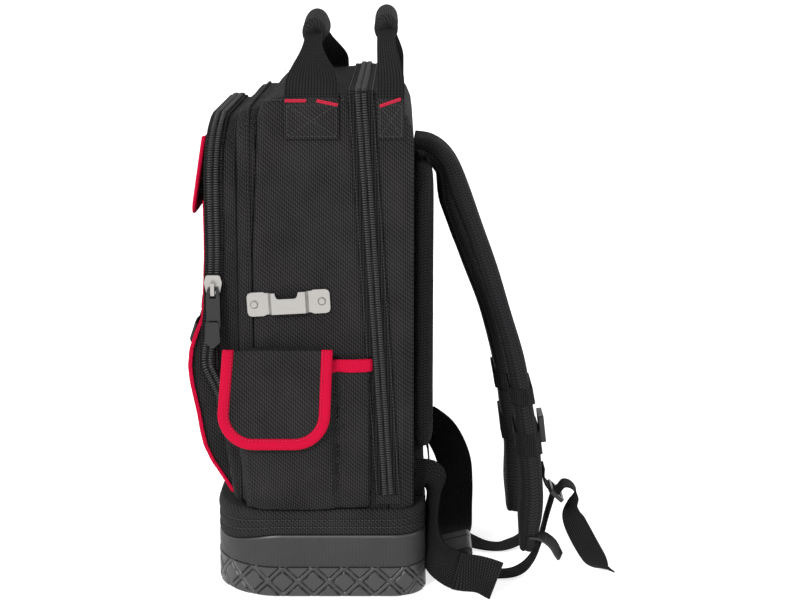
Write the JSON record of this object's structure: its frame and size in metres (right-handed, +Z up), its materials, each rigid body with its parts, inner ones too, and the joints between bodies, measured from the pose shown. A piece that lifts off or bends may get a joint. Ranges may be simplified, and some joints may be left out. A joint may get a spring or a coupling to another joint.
{
  "type": "tool backpack",
  "caption": "Tall tool backpack with a treaded rubber base, zipped front pockets, flapped side pockets, steel tape clip, grab handles and padded shoulder straps.",
  "frame": {"origin": "middle of the rubber base's underside, on the ground", "axes": "+Z up, +Y from the front pockets toward the wearer's back, +X toward the side that the picture shows"},
  "size_m": [0.3704, 0.4245, 0.5618],
  "materials": {
    "nylon": "ballistic twill weave, matt",
    "webbing": "ribbed webbing, matt",
    "mesh": "padded spacer mesh, matt",
    "red_tape": "ribbed edge tape, matt",
    "base_rubber": "moulded, fine grain, slight sheen",
    "black_plastic": "moulded, satin",
    "steel": "brushed, fine grain"
  },
  "bodies": {
    "bag": {"base_tray": "base_rubber", "body_front": "nylon", "body_back": "nylon", "base_cuff": "nylon", "zip_end_near": "nylon", "zip_end_far": "nylon", "mid_compartment": "nylon", "front_pocket": "nylon", "front_zip": "webbing", "front_zip_slider": "steel", "lower_front_pocket": "nylon", "lower_pocket_binding_near": "red_tape", "lower_pocket_binding_far": "red_tape", "tool_loops_upper": "webbing", "tool_loops_middle": "webbing", "tool_loops_lower": "webbing", "upper_flap": "nylon", "upper_flap_binding": "red_tape", "main_zip": "webbing", "side_pocket_near": "nylon", "side_pocket_far": "nylon", "side_pocket_binding_near": "red_tape", "side_pocket_binding_far": "red_tape", "side_flap_near": "nylon", "side_flap_far": "nylon", "side_flap_binding_near": "red_tape", "side_flap_binding_far": "red_tape", "tape_clip": "steel", "clip_rivet_front": "steel", "clip_rivet_rear": "steel", "handle_front_webbing": "webbing", "handle_front_grip": "webbing", "handle_rear_webbing": "webbing", "handle_rear_grip": "webbing", "adjuster_near": "webbing", "adjuster_far": "webbing", "adjuster_tail_near": "webbing", "ladder_lock_near": "black_plastic", "lock_webbing_near": "webbing", "strap_end_tab_near": "black_plastic", "belt_far": "webbing", "belt_near": "webbing", "belt_tail": "webbing", "belt_buckle_male": "black_plastic", "belt_buckle_female": "black_plastic", "shoulder_strap_near": "mesh", "shoulder_strap_far": "mesh", "sternum_loop_near": "webbing", "sternum_loop_far": "webbing", "accessory_loop_near": "webbing", "accessory_loop_far": "webbing", "sternum_buckle_near": "black_plastic", "sternum_buckle_far": "black_plastic", "back_pad_near": "mesh", "back_pad_far": "mesh"},
    "zip_pull": {"front_zip_pull": "black_plastic", "front_zip_link": "black_plastic"}
  },
  "joints": [
    {"name": "zip_pull_hinge", "type": "hinge", "parent": "bag", "child": "zip_pull", "pos_m": [0.1538, -0.0983, 0.30504], "axis": [0, -1, 0], "range_deg": [0, 150]}
  ]
}
